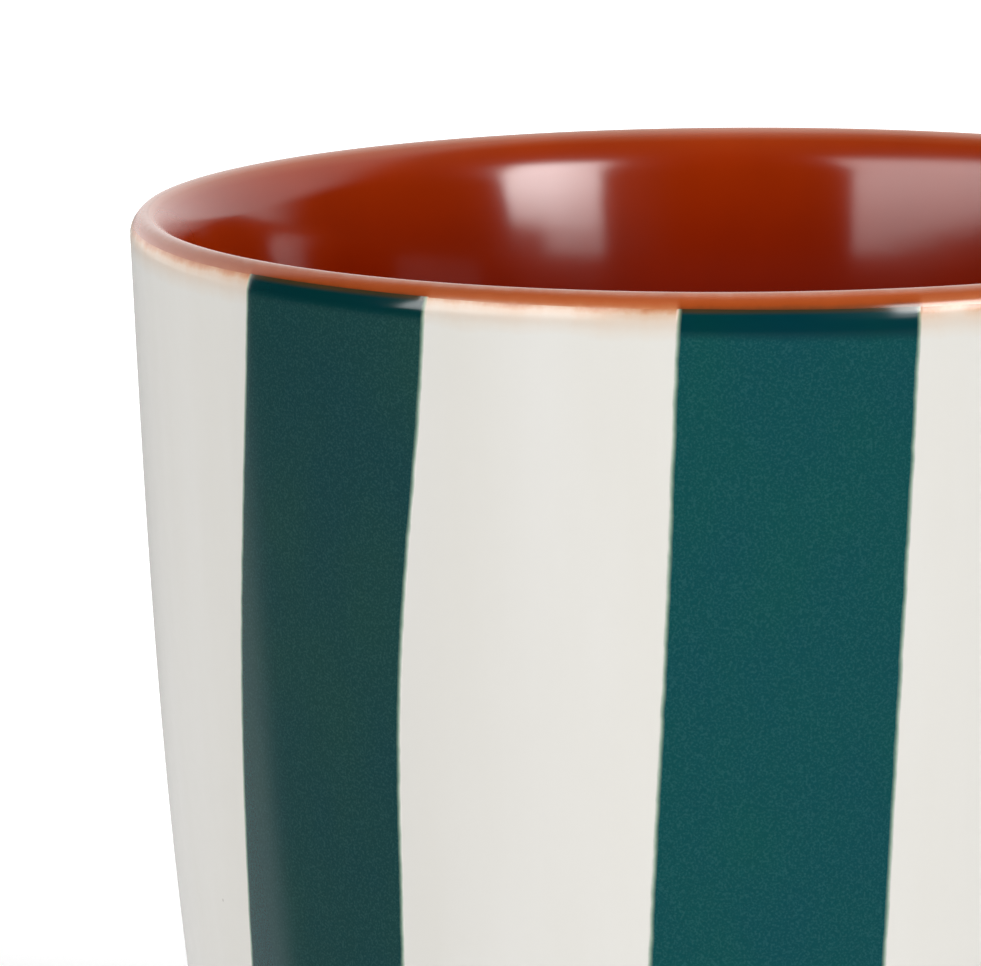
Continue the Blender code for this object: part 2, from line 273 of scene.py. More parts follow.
class Graph:
    """Short calls for the shader nodes that a material or the world is wired from."""

    def __init__(self, tree):
        self.tree = tree
        tree.nodes.clear()

    def add(self, kind, inputs=None, **settings):
        node = self.tree.nodes.new("ShaderNode" + kind)
        for name, value in settings.items():
            setattr(node, name, value)
        for key, value in (inputs or {}).items():
            self.plug(node.inputs[key], value)
        return node

    def plug(self, socket, value):
        if isinstance(value, bpy.types.NodeSocket):
            self.tree.links.new(value, socket)
        else:
            socket.default_value = value

    def math(self, operation, first, second=0.0):
        return self.add("Math", {0: first, 1: second}, operation=operation).outputs[0]

    def times(self, first, *others):
        for other in others:
            first = self.math("MULTIPLY", first, other)
        return first

    def plus(self, first, *others):
        for other in others:
            first = self.math("ADD", first, other)
        return first

    def minus(self, first, second):
        return self.math("SUBTRACT", first, second)

    def smooth(self, value, start, stop):
        """0 below start, 1 above stop, eased between."""
        node = self.add("MapRange", {"Value": value, "From Min": start, "From Max": stop},
                        interpolation_type="SMOOTHSTEP")
        return node.outputs["Result"]

    def scaled(self, value, low, high):
        """A 0 to 1 value spread from low to high."""
        node = self.add("MapRange", {"Value": value, "To Min": low, "To Max": high}, clamp=False)
        return node.outputs["Result"]

    def mix(self, factor, first, second, blend="MIX"):
        node = self.add("Mix", data_type="RGBA", blend_type=blend, clamp_factor=True)
        for index, value in ((0, factor), (6, first), (7, second)):
            self.plug(node.inputs[index], value)
        return node.outputs[2]

    def ramp(self, value, stops):
        """Colour by value, between (position, colour) stops."""
        node = self.add("ValToRGB", {"Fac": value})
        elements = node.color_ramp.elements
        while len(elements) < len(stops):
            elements.new(0.5)
        for element, (position, colour) in zip(elements, stops):
            element.position = position
            element.color = (*colour, 1.0)
        return node.outputs["Color"]

    def noise(self, vector, size, detail=2.0, roughness=0.5):
        """Even noise, 0 to 1, with features of about size metres."""
        node = self.add("TexNoise", {"Vector": vector, "Scale": 1.0 / size, "Detail": detail,
                                     "Roughness": roughness})
        return node.outputs["Fac"]

    def bump(self, height, strength, distance):
        node = self.add("Bump", {"Height": height, "Strength": strength, "Distance": distance})
        return node.outputs["Normal"]

    def place(self, stretch=(1, 1, 1)):
        """The point on the piece, in metres, with each axis scaled."""
        coords = self.add("TexCoord").outputs["Object"]
        return self.add("Mapping", {"Vector": coords, "Scale": stretch}).outputs["Vector"]


def rgb(red, green, blue):
    """A display colour, 0 to 255, as linear light."""
    return tuple((c / 255 / 12.92) if c <= 10.3 else ((c / 255 + 0.055) / 1.055) ** 2.4
                 for c in (red, green, blue))


def new_material(name):
    material = bpy.data.materials.new(name)
    material.use_nodes = True
    return material, Graph(material.node_tree)


def finish_material(graph, colour, roughness, normal):
    shader = graph.add("BsdfPrincipled", {"Base Color": colour, "Roughness": roughness,
                                          "IOR": GLAZE_IOR, "Normal": normal})
    graph.add("OutputMaterial", {"Surface": shader.outputs["BSDF"]})


def axis_coordinates(graph):
    """x, y and z of the point on the piece."""
    node = graph.add("SeparateXYZ", {"Vector": graph.add("TexCoord").outputs["Object"]})
    return node.outputs["X"], node.outputs["Y"], node.outputs["Z"]


def depth_mm(graph):
    """Depth below the lip, in millimetres."""
    z = axis_coordinates(graph)[2]
    return graph.times(graph.minus(HEIGHT, z), 1000.0)


def from_axis(graph, x, y):
    """Distance from the cup's axis, in metres."""
    return graph.math("SQRT", graph.plus(graph.times(x, x), graph.times(y, y)))


def swing_node(graph):
    """The same swing round the cup as swing()."""
    x, y, _ = axis_coordinates(graph)
    turned_x = graph.times(x, math.cos(SWING_PHASE))
    turned_y = graph.times(y, -math.sin(SWING_PHASE))
    return graph.math("DIVIDE", graph.plus(turned_x, turned_y), from_axis(graph, x, y))


GLAZE_IOR = 1.5
GLAZE_BUMP = 0.2 * MM
CLAY_BUMP = 0.1 * MM
SLIP_ROUGHNESS = 0.19
PAINT_ROUGHNESS = 0.11
CLAY_ROUGHNESS = 0.78
BORE_ROUGHNESS = 0.11
LIP_ROUGHNESS = 0.26
EDGE_GLOSS = 0.11                       # how much smoother the rust glaze gets at its outer edge
TURNING_RING_PITCH = 0.9 * MM

# Colour ramps: (depth or share of depth, colour) from the lip down
WHITE = rgb(229, 227, 222)
SLIP_RAMP_MM = 3.4
SLIP_RAMP = (
    (0.70, rgb(184, 106, 64)), (0.90, rgb(196, 124, 82)), (1.10, rgb(214, 160, 124)),
    (1.35, rgb(224, 194, 170)), (1.70, rgb(227, 209, 193)), (2.10, rgb(226, 214, 202)),
    (2.50, rgb(228, 221, 212)), (3.10, WHITE))


def slip_colour(graph):
    """Warm white slip with a peach blush under the lip, where the rust glaze feathers out over it."""
    depth = depth_mm(graph)
    drift = graph.noise(graph.place((1, 1, 0.5)), 2.6 * MM, 2.0)
    fine = graph.noise(graph.place(), 0.35 * MM, 2.0)
    shift = graph.plus(graph.scaled(drift, -0.45, 0.45), graph.scaled(fine, -0.10, 0.10))
    swung = graph.times(graph.math("MAXIMUM", swing_node(graph), -0.3), -0.45)
    felt = graph.plus(graph.plus(depth, shift), swung)
    blush = graph.ramp(graph.math("DIVIDE", felt, SLIP_RAMP_MM),
                       [(d / SLIP_RAMP_MM, colour) for d, colour in SLIP_RAMP])
    streak = graph.noise(graph.place((1, 1, 0.12)), 6.0 * MM, 3.0)
    patch = graph.ramp(streak, [(0.30, (0.91, 0.905, 0.89)), (0.70, (0.935, 0.935, 0.935))])
    mottled = graph.mix(1.0, blush, patch, "MULTIPLY")
    pits = graph.add("TexVoronoi", {"Vector": graph.place(), "Scale": 1 / (9 * MM)}, feature="F1")
    pit = graph.math("LESS_THAN", pits.outputs["Distance"], 0.014)
    return graph.mix(graph.times(pit, 0.45), mottled, (0.30, 0.28, 0.24, 1.0))


def make_slip_material():
    material, graph = new_material("white_slip_glazed")
    soft = graph.noise(graph.place(), 1.6 * MM, 2.0)
    finish_material(graph, slip_colour(graph), SLIP_ROUGHNESS, graph.bump(soft, 0.05, GLAZE_BUMP))
    return material


# The first stop of each rust glaze ramp, paler and pinker at the lip's top, is partly the glaze breaking
# thin over the rim and partly a painted highlight.
INSIDE_RAMP_MM = 14.0
INSIDE_RAMP = (
    (0.00, rgb(190, 128, 104)), (0.022, rgb(170, 76, 34)), (0.06, rgb(163, 54, 8)),
    (0.14, rgb(158, 45, 1)), (0.36, rgb(147, 38, 0)), (0.52, rgb(137, 32, 0)),
    (0.69, rgb(128, 26, 0)), (0.85, rgb(122, 22, 0)))
# Here too the first stop is paler at the lip's top: partly thin glaze, partly a painted highlight.
EDGE_RAMP_MM = 1.2
OVER_PAINT_RAMP = (
    (0.00, rgb(188, 124, 100)), (0.16, rgb(178, 92, 52)), (0.34, rgb(172, 80, 36)),
    (0.60, rgb(162, 72, 27)), (0.86, rgb(120, 62, 30)))
OVER_SLIP_RAMP = (
    (0.00, rgb(186, 124, 100)), (0.16, rgb(174, 94, 58)), (0.34, rgb(174, 86, 45)),
    (0.50, rgb(180, 92, 50)), (0.66, rgb(186, 104, 62)), (0.80, rgb(194, 120, 78)),
    (0.95, rgb(208, 148, 110)))


def make_lining_material():
    """Rust glaze: deep red inside, orange where it thins over the lip, feathered out over the slip, and
    paler at the lip's top, partly thin glaze and partly a painted highlight.
    """
    material, graph = new_material("rust_glaze")
    depth = depth_mm(graph)
    inside = graph.ramp(graph.math("DIVIDE", depth, INSIDE_RAMP_MM), INSIDE_RAMP)
    cloud = graph.noise(graph.place((1, 1, 0.5)), 9.0 * MM, 3.0)
    clouds = graph.ramp(cloud, [(0.3, (0.88, 0.84, 0.8)), (0.7, (1.0, 1.0, 1.0))])
    inside = graph.mix(1.0, inside, clouds, "MULTIPLY")
    outer = graph.add("Attribute", attribute_name="outside").outputs["Fac"]
    painted = graph.add("Attribute", attribute_name="over_stripe").outputs["Fac"]
    wander = graph.scaled(graph.noise(graph.place((1, 1, 0.6)), 1.3 * MM, 3.0), -0.16, 0.16)
    felt = graph.plus(depth, wander)
    band = graph.ramp(graph.math("DIVIDE", felt, EDGE_RAMP_MM), OVER_PAINT_RAMP)
    thin = graph.ramp(graph.math("DIVIDE", felt, EDGE_RAMP_MM), OVER_SLIP_RAMP)
    lip = graph.mix(painted, thin, band)
    # painted shade: the lip's outside is darkened by up to a fifth towards the cup's left side, away
    # from the handle
    painted_shade = graph.scaled(graph.smooth(swing_node(graph), 0.1, -0.6), 1.0, 0.80)
    painted_shade = graph.add("CombineXYZ", {"X": painted_shade, "Y": painted_shade, "Z": painted_shade}).outputs[0]
    lip = graph.mix(1.0, lip, painted_shade, "MULTIPLY")
    colour = graph.mix(outer, inside, lip)
    soft = graph.noise(graph.place(), 2.5 * MM, 2.0)
    satin = graph.scaled(graph.smooth(depth, 3.6, 0.4), BORE_ROUGHNESS, LIP_ROUGHNESS)
    gloss = graph.times(outer, graph.scaled(graph.smooth(depth, 0.4, 0.85), 0.0, EDGE_GLOSS))
    finish_material(graph, colour, graph.minus(satin, gloss), graph.bump(soft, 0.02, GLAZE_BUMP))
    return material


TEALS = {
    "deep": ((0.0, 0.0285, 0.0325), (0.0050, 0.0445, 0.0445)),
    "bright": ((0.0, 0.0345, 0.0410), (0.0002, 0.0600, 0.0635)),
}
STRIPE_TONES = {"stripe_1": "deep", "stripe_4": "deep", "stripe_6": "deep"}
DARK_BAND_MM = 2.30                     # depth of the dark band under the lip
DARK_BAND_SWING_MM = 0.95
RUST_STAIN = rgb(62, 50, 30)
GREEN_FRINGE = rgb(96, 140, 112)
PAINT_COVER = ((0.42, 0.0), (0.53, 0.55), (0.64, 0.88), (0.80, 1.0))


def make_paint_material(tone):
    """Teal underglaze paint: darker where it meets the lip, finely speckled, green at its soft edges."""
    material, graph = new_material(f"teal_paint_{tone}")
    dark, body = TEALS[tone]
    depth = depth_mm(graph)
    side = swing_node(graph)
    band_end = graph.plus(graph.times(side, DARK_BAND_SWING_MM), DARK_BAND_MM)
    below = graph.smooth(graph.minus(depth, band_end), -0.20, 0.75)
    teal = graph.mix(below, (*dark, 1.0), (*body, 1.0))
    from_edge = graph.minus(graph.minus(depth, EDGE_DEPTH / MM), graph.times(side, EDGE_SWING / MM))
    teal = graph.mix(graph.smooth(from_edge, 0.0, 0.36), (*RUST_STAIN, 1.0), teal)
    patches = graph.noise(graph.place((1, 1, 0.6)), 7.0 * MM, 3.0)
    tint = graph.ramp(patches, [(0.34, (0.76, 0.94, 1.04)), (0.66, (1.18, 1.04, 0.95))])
    teal = graph.mix(1.0, teal, tint, "MULTIPLY")
    grain = graph.noise(graph.place(), 0.15 * MM, 1.0, 0.6)
    spark = graph.mix(graph.smooth(grain, 0.42, 0.72), (0, 0, 0, 1), (0.008, 0.019, 0.019, 1.0))
    teal = graph.mix(below, teal, graph.mix(1.0, teal, spark, "ADD"))
    inward = graph.add("Attribute", attribute_name="inward_mm").outputs["Fac"]
    rough = graph.noise(graph.place((1, 1, 0.5)), 0.8 * MM, 3.0)
    reach = graph.plus(inward, graph.scaled(rough, -0.10, 0.10))
    cover = graph.ramp(graph.scaled(reach, 0.5, 1.5),
                       [(position, (grey, grey, grey)) for position, grey in PAINT_COVER])
    green = graph.mix(graph.smooth(reach, 0.0, 0.32), (*GREEN_FRINGE, 1.0), teal)
    colour = graph.mix(cover, slip_colour(graph), green)
    finish_material(graph, colour, PAINT_ROUGHNESS, graph.bump(patches, 0.05, GLAZE_BUMP))
    return material


def make_clay_material():
    material, graph = new_material("bare_red_clay")
    x, y, _ = axis_coordinates(graph)
    rings = graph.math("SINE", graph.times(from_axis(graph, x, y), math.tau / TURNING_RING_PITCH))
    grog = graph.noise(graph.place(), 0.5 * MM, 4.0, 0.7)
    cloud = graph.noise(graph.place(), 6.0 * MM, 3.0)
    clay = graph.ramp(cloud, [(0.3, rgb(158, 84, 52)), (0.7, rgb(182, 104, 68))])
    clay = graph.mix(graph.smooth(grog, 0.62, 0.75), clay, (*rgb(205, 150, 116), 1.0))
    height = graph.plus(grog, graph.times(rings, 0.25))
    finish_material(graph, clay, CLAY_ROUGHNESS, graph.bump(height, 0.5, CLAY_BUMP))
    return material


# Pieces --------------------------------------------------------------------------------------

def outside_rows(angle):
    """Radius and height of the outside, row by row, from the rust glaze's edge down to the foot."""
    edge = edge_depth(angle)[None, :]
    wall_end = HEIGHT - BASE_CORNER_START
    upper = edge + (LIP_ROWS_END - edge) * np.linspace(0, 1, LIP_ROWS)[:, None]
    lower = spaced(LIP_ROWS_END, wall_end, WALL_ROWS)[1:, None]
    depth = np.vstack([upper, np.broadcast_to(lower, (WALL_ROWS - 1, angle.size))])
    radius = outer_radius(depth, angle)
    centre_r, centre_z, lean = corner_centre()
    bend = spaced(lean, BASE_CORNER_END, CORNER_ROWS)[1:, None]
    shape = (CORNER_ROWS - 1, angle.size)
    corner_r = np.broadcast_to(centre_r + BASE_CORNER_RADIUS * np.cos(bend), shape)
    corner_z = np.broadcast_to(centre_z - BASE_CORNER_RADIUS * np.sin(bend), shape)
    return np.vstack([radius, corner_r]), np.vstack([HEIGHT - depth, corner_z])


def make_slip(material):
    angle = around()
    radius, height = outside_rows(angle)
    inner_r, inner_z = thickened(radius, height, COAT)
    rows_r = np.vstack([radius, inner_r[::-1]])
    rows_z = np.vstack([height, inner_z[::-1]])
    verts, faces = turned(to_points(rows_r, rows_z, angle))
    piece = add_mesh("white_slip_coat", verts, faces, material)
    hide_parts("outside_slip")


def over_stripe(angle, depth):
    """1 over a stripe, 0 between stripes, and rising from one to the other at the sides."""
    result = np.zeros_like(angle)
    for name in STRIPES:
        left, right = stripe_edges(name, depth)
        middle, half = (left + right) / 2, (right - left) / 2
        away = np.abs((angle - middle + math.pi) % math.tau - math.pi)
        inside = (half - away) * SHOULDER_RADIUS / STRIPE_SOFT_EDGE
        result = np.maximum(result, np.clip(inside + 0.5, 0, 1))
    return result


def lining_rows(angle):
    """Radius and height of the rust glaze from the floor, up the bore, over the lip to its edge.

    The third value is how many of the rows lie inside the cup.
    """
    corner_z = FLOOR_Z + FLOOR_CORNER_RADIUS
    corner_r = bore_radius(HEIGHT - corner_z) - FLOOR_CORNER_RADIUS
    floor = spaced(FLOOR_FIRST_RING, corner_r, FLOOR_ROWS)
    bend = spaced(-math.pi / 2, FLOOR_CORNER_END, FLOOR_CORNER_ROWS)[1:]
    bore = spaced(LIP_INNER_DEPTH, HEIGHT - corner_z, BORE_ROWS, BORE_CROWD)[::-1][1:]
    inner_lip = LIP_INNER_DEPTH * (1 - np.cos(spaced(math.pi / 2, 0, INNER_LIP_ROWS)[1:, None]))
    radius = np.concatenate([floor, corner_r + FLOOR_CORNER_RADIUS * np.cos(bend), bore_radius(bore)])
    height = np.concatenate([np.full(FLOOR_ROWS, FLOOR_Z), corner_z + FLOOR_CORNER_RADIUS * np.sin(bend),
                             HEIGHT - bore])
    radius = np.vstack([np.broadcast_to(radius[:, None], (radius.size, angle.size)),
                        lip_inner_radius(inner_lip, angle)])
    height = np.vstack([np.broadcast_to(height[:, None], (height.size, angle.size)),
                        np.broadcast_to(HEIGHT - inner_lip, (inner_lip.size, angle.size))])
    inside_count = radius.shape[0]
    outer = edge_depth(angle)[None, :] * np.linspace(0, 1, OUTER_LIP_ROWS)[1:, None] ** 2
    radius = np.vstack([radius, outer_radius(outer, angle)])
    return radius, np.vstack([height, HEIGHT - outer]), inside_count


LIP_TOP_ROWS = 3                        # rows at the top of the bore that look like the outside


def make_lining(material):
    angle = around(2 * COLUMNS)
    radius, height, inside_count = lining_rows(angle)
    inner_r, inner_z = thickened(radius, height, COAT)
    inner_r = np.maximum(inner_r, SMALLEST_RING)
    rows_r = np.vstack([radius, inner_r[::-1]])
    rows_z = np.vstack([height, inner_z[::-1]])
    poles = [(0, 0, FLOOR_Z), (0, 0, FLOOR_Z - COAT)]
    verts, faces = turned(to_points(rows_r, rows_z, angle), poles)
    rows = radius.shape[0]
    outside = np.zeros((2 * rows, angle.size))
    first = inside_count - LIP_TOP_ROWS
    outside[first:2 * rows - first] = 1.0
    painted = np.broadcast_to(over_stripe(angle, EDGE_DEPTH), outside.shape)
    attributes = [(label, np.append(values.ravel(), [0, 0]))
                  for label, values in (("outside", outside), ("over_stripe", painted))]
    piece = add_mesh("rust_glaze_lining", verts, faces, material, attributes=attributes)
    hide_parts("inside_glaze")


FOOT_EDGE = ((0.0, 0.9), (0.02, 0.45), (0.12, 0.18), (0.45, 0.0), (1.6, 0.0))     # inset, height in mm
STANDING_RINGS = (18 * MM, 8 * MM, 1 * MM)


def make_cup_clay(material):
    angle = around(CLAY_COLUMNS)
    radius, height, _ = lining_rows(angle)
    wall_r, wall_z = outside_rows(angle)
    surface_r = np.vstack([radius, wall_r[1:]])
    surface_z = np.vstack([height, wall_z[1:]])
    clay_r, clay_z = thickened(surface_r, surface_z, COAT + CLAY_CLEARANCE)
    clay_r = np.maximum(clay_r, SMALLEST_RING)
    last = clay_r[-1:]
    foot_r = np.vstack([last - inset * MM for inset, _ in FOOT_EDGE]
                       + [np.full_like(last, ring) for ring in STANDING_RINGS])
    foot_z = np.vstack([np.full_like(last, up * MM) for _, up in FOOT_EDGE]
                       + [np.zeros_like(last)] * len(STANDING_RINGS))
    poles = [(0, 0, FLOOR_Z - COAT - CLAY_CLEARANCE), (0, 0, 0)]
    rows_r = np.vstack([clay_r, foot_r])
    rows_z = np.vstack([clay_z, foot_z])
    verts, faces = turned(to_points(rows_r, rows_z, angle), poles)
    piece = add_mesh("cup_clay", verts, faces, material)
    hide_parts("cup_body")


def stripe_edges(name, depth):
    """Left and right edge angles of a stripe at these depths."""
    share = depth / HEIGHT
    edges = []
    for start, lean, wobble, phase in STRIPES[name]:
        wave = wobble * np.sin(math.tau * WOBBLES * share + math.radians(phase))
        edges.append(np.radians(start + lean * share + wave))
    return edges


def make_stripe(name, material):
    """One painted stripe: a thin slab on the wall, raised in the middle and sunk at its soft edges."""
    across = np.sin(np.linspace(-1, 1, STRIPE_COLUMNS) * math.pi / 2)[None, :]
    share = np.concatenate([spaced(0, STRIPE_TOP_SHARE, STRIPE_TOP_ROWS),
                            spaced(STRIPE_TOP_SHARE, 1, STRIPE_ROWS)[1:]])[:, None]
    depth = STRIPE_TOP + (STRIPE_BOTTOM - STRIPE_TOP) * share
    left, right = stripe_edges(name, depth)
    middle = (left + right) / 2
    radius_here = outer_radius(depth, middle)
    half = (right - left) / 2 + STRIPE_MARGIN / radius_here
    angle = middle + across * half
    top = edge_depth(angle) - STRIPE_TUCK
    depth = top + (depth - STRIPE_TOP) * (STRIPE_BOTTOM - top) / (STRIPE_BOTTOM - STRIPE_TOP)
    surface_r, surface_z = stripe_surface(depth, angle)
    side = (1 - np.abs(across)) * half * radius_here - STRIPE_MARGIN
    ends = np.minimum(depth - top + STRIPE_TOP_COVER, STRIPE_BOTTOM - depth)
    inward = np.minimum(side, ends)
    swell = np.clip((inward + STRIPE_MARGIN) / STRIPE_SHOULDER, 0, 1) ** STRIPE_SHOULDER_POWER
    rise = STRIPE_RELIEF * swell + STRIPE_LIFT
    top_r, top_z = thickened(surface_r, surface_z, -rise)
    low_r, low_z = thickened(surface_r, surface_z, STRIPE_ROOT)
    rows, columns = angle.shape
    verts = np.vstack([to_points(top_r, top_z, angle).reshape(-1, 3),
                       to_points(low_r, low_z, angle).reshape(-1, 3)])
    faces = []
    under = rows * columns
    for row in range(rows - 1):
        for column in range(columns - 1):
            a = row * columns + column
            b, c, d = a + 1, a + columns + 1, a + columns
            faces.append((a, d, c, b))
            faces.append((under + a, under + b, under + c, under + d))
    rim = (list(range(columns))
           + [row * columns + columns - 1 for row in range(1, rows)]
           + [(rows - 1) * columns + column for column in range(columns - 2, -1, -1)]
           + [row * columns for row in range(rows - 2, 0, -1)])
    for first, second in zip(rim, rim[1:] + rim[:1]):
        faces.append((first, second, under + second, under + first))
    reach = np.concatenate([inward.ravel(), inward.ravel()]) / MM
    piece = add_mesh(name + "_paint", verts, faces, material, attributes=[("inward_mm", reach)])
    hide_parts(name)


def stripe_surface(depth, angle):
    """Radius and height of the wall at these depths, following the base corner where it starts."""
    centre_r, centre_z, lean = corner_centre()
    z = HEIGHT - depth
    wall = outer_radius(depth, angle)
    past = np.clip(BASE_CORNER_START - z, 0, None) / BASE_CORNER_RADIUS
    bend = lean + past * STRIPE_CORNER_TURN
    on_corner = z < BASE_CORNER_START
    radius = np.where(on_corner, centre_r + BASE_CORNER_RADIUS * np.cos(bend), wall)
    height = np.where(on_corner, centre_z - BASE_CORNER_RADIUS * np.sin(bend), z)
    return radius, height


def bezier(controls, t):
    """Point and direction at t, from 0 to 1, along a cubic curve."""
    a, b, c, d = controls
    s = 1 - t
    point = s ** 3 * a + 3 * s * s * t * b + 3 * s * t * t * c + t ** 3 * d
    slope = s * s * (b - a) + 2 * s * t * (c - b) + t * t * (d - c)
    return point, slope.normalized()


def handle_path():
    """Points and directions along the handle's middle line, from its upper root to its lower root."""
    top, low = (Vector((wall_radius(z) + ROOT_STANDOFF - CLAY_INSET, 0, z))
                for z in (UPPER_ROOT_Z, LOWER_ROOT_Z))
    span = UPPER_ROOT_Z - LOWER_ROOT_Z
    grip = Vector((HANDLE_REACH, 0, LOWER_ROOT_Z + GRIP_SHARE * span))
    upper = (top, top + span * Vector((0.36, 0, 0.10)), grip + span * Vector((0.02, 0, 0.34)), grip)
    lower = (grip, grip - span * Vector((0.02, 0, 0.30)), low + span * Vector((0.34, 0, 0.06)), low)
    half = HANDLE_STEPS // 2
    return ([bezier(upper, step / half) for step in range(half)]
            + [bezier(lower, step / half) for step in range(half + 1)])


def handle_size(along):
    top, middle, low = HANDLE_SECTIONS
    first, second, blend = (top, middle, along * 2) if along < 0.5 else (middle, low, along * 2 - 1)
    ease = blend * blend * (3 - 2 * blend)
    return tuple(p + (q - p) * ease for p, q in zip(first, second))


def oval(half_width, half_height):
    """A slightly squared oval as two arrays."""
    turn = around(HANDLE_SIDES)
    across, up = np.cos(turn), np.sin(turn)
    return (half_width * np.sign(across) * np.abs(across) ** OVAL_POWERS[0],
            half_height * np.sign(up) * np.abs(up) ** OVAL_POWERS[1])


def handle_skin(growth, flare, sink):
    """Rings of the handle's surface from the wall at its upper root to the wall at its lower root."""
    path = handle_path()
    rings = []
    for i, (point, direction) in enumerate(path):
        half_width, half_thickness = handle_size(i / HANDLE_STEPS)
        outward = direction.cross(Vector((0, 1, 0)))
        y, up = oval(half_width + growth, half_thickness + growth)
        rings.append(np.stack([point.x + outward.x * up, y, point.z + outward.z * up], axis=-1))
    roots = []
    for end in (0, -1):
        point, direction = path[end]
        to_cup = direction if end else -direction
        outward = direction.cross(Vector((0, 1, 0)))
        half_width, half_thickness = handle_size(-end)
        start = rings[end]
        y, up = oval(half_width + growth + flare, half_thickness + growth + flare)
        z = point.z + to_cup.z * ROOT_STANDOFF + outward.z * up
        x = np.sqrt((wall_radius(z) - sink) ** 2 - y ** 2)
        foot = np.stack([x, y, z], axis=-1)
        root = []
        for step in range(1, ROOT_STEPS + 1):
            turn = math.pi / 2 * step / ROOT_STEPS
            along, spread = math.sin(turn), 1 - math.cos(turn)
            share = np.array([along, spread, spread])
            root.append(start + (foot - start) * share)
        roots.append(root)
    return np.array(roots[0][::-1] + rings + roots[1])


def make_handle_slip(material):
    outer = handle_skin(HANDLE_COAT, ROOT_FLARE, ROOT_SINK)
    inner = handle_skin(HANDLE_COAT - COAT, ROOT_FLARE - INNER_FLARE_LESS, INNER_ROOT_SINK)
    verts, faces = turned(np.concatenate([inner, outer[::-1]]))
    piece = add_mesh("handle_slip_coat", verts, faces, material, sharp=60)
    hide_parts("handle_slip")


def dress_cad_nodes(material):
    """The handle's clay and its two luted joints keep their CAD shape, inside the slip."""
    for name in ("handle", "handle_joint_upper", "handle_joint_lower"):
        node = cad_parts[name]
        node.data.materials.clear()
        node.data.materials.append(material)


# Studio --------------------------------------------------------------------------------------

CAMERA_DISTANCE = 0.765
CAMERA_ELEVATION = math.radians(8.0)
CAMERA_LENS = 401.4
CAMERA_SENSOR = 36.0
CAMERA_ROLL = math.radians(-0.463)
AIM = Vector((-17.46 * MM, 0, HEIGHT - 19.59 * MM))

# Radiance of the light round the cup. A pair runs from low to high.
RIGHT_WINDOW_LIGHT = (6.0, 15.8)
RIGHT_WINDOW_LEFT_SHARE = 0.74          # share of that light at the window's left side
SILL_LIGHT = 3.0
GLOW_LIGHT = 0.10
LEFT_WINDOW_LIGHT = (2.9, 6.2)
OVERHEAD_LIGHT = 0.8
ROOM_LIGHT = 0.015
TABLE_LIGHT = 0.15
SWEEP_LIGHT_LOW = (0.3, 1.0)
SWEEP_LIGHT_HIGH = (1.1, 1.35)
SWEEP_LEFT_GAIN = 1.08
BACKDROP_LIGHT = 1.05

# Edges of that light, in degrees of azimuth or elevation: where each one starts and where it is full
RIGHT_WINDOW = {"left": (28.7, 30.3), "right": (52.0, 50.9), "foot": (8.2, 9.8), "head": (34.5, 26.5)}
SILL = {"left": (28.1, 29.9), "right": (45.0, 39.0), "foot": (0.0, 6.0), "head": (10.5, 8.5)}
GLOW = {"left": (11.0, 23.0), "right": (30.0, 28.0), "foot": (2.0, 6.0), "head": (29.0, 25.0)}
LEFT_WINDOW = {"left": (-67.5, -65.5), "right": (-23.9, -25.7), "foot": (4.8, 6.9), "head": (37.0, 26.0)}
SWEEP_RIGHT = (87.0, 103.0)
SWEEP_LEFT = (-103.0, -112.0)

# Leans of those edges: the elevation or azimuth where a lean starts, and degrees for each degree past it
RIGHT_LEAN_START = 14.5
RIGHT_LEAN = 0.35
LEFT_LEAN_START = 15.0
LEFT_LEAN = 0.17
LEFT_FOOT_PIVOT = -22.0
LEFT_FOOT_SLOPE = -0.08
SWEEP_LEAN_START = 22.0


def make_camera():
    """A long lens from a little above the lip."""
    lip_centre = Vector((0, 0, HEIGHT))
    back = Vector((0, -math.cos(CAMERA_ELEVATION), math.sin(CAMERA_ELEVATION)))
    camera = bpy.data.objects.new("camera", bpy.data.cameras.new("camera"))
    place = lip_centre + back * CAMERA_DISTANCE
    camera.matrix_world = (AIM - place).to_track_quat("-Z", "Y").to_matrix().to_4x4()
    camera.location = place
    camera.rotation_euler.rotate_axis("Z", CAMERA_ROLL)
    camera.data.lens = CAMERA_LENS
    camera.data.sensor_width = CAMERA_SENSOR
    camera.data.clip_start = 0.01
    bpy.context.scene.collection.objects.link(camera)
    bpy.context.scene.camera = camera


def window(graph, edges, left, right, foot, head):
    """1 inside a soft-edged window; each edge is felt on the value given for it."""
    values = {"left": left, "right": right, "foot": foot, "head": head}
    return graph.times(*(graph.smooth(value, *edges[side]) for side, value in values.items()))


def right_window_light(graph, azimuth, elevation):
    """A bright window whose right side leans in at the foot, its sill and a faint glow beside it."""
    below = graph.math("MAXIMUM", graph.minus(RIGHT_LEAN_START, elevation), 0.0)
    right_side = graph.plus(azimuth, graph.times(below, RIGHT_LEAN))
    pane = window(graph, RIGHT_WINDOW, azimuth, right_side, elevation, elevation)
    across = graph.scaled(graph.smooth(azimuth, 30.0, 42.0), RIGHT_WINDOW_LEFT_SHARE, 1.0)
    up = graph.scaled(graph.smooth(elevation, 7.0, 16.0), *RIGHT_WINDOW_LIGHT)
    sill = window(graph, SILL, azimuth, azimuth, elevation, elevation)
    glow = window(graph, GLOW, azimuth, azimuth, elevation, elevation)
    return graph.plus(graph.times(pane, across, up), graph.times(sill, SILL_LIGHT),
                      graph.times(glow, GLOW_LIGHT))


def left_window_light(graph, azimuth, elevation):
    """A dimmer, wider window with a sloping foot, leaning to the right higher up."""
    foot = graph.minus(elevation, graph.times(graph.minus(azimuth, LEFT_FOOT_PIVOT), LEFT_FOOT_SLOPE))
    above = graph.math("MAXIMUM", graph.minus(elevation, LEFT_LEAN_START), 0.0)
    leaned = graph.minus(azimuth, graph.times(above, LEFT_LEAN))
    pane = window(graph, LEFT_WINDOW, leaned, leaned, foot, elevation)
    return graph.times(pane, graph.scaled(graph.smooth(elevation, 6.0, 16.0), *LEFT_WINDOW_LIGHT))


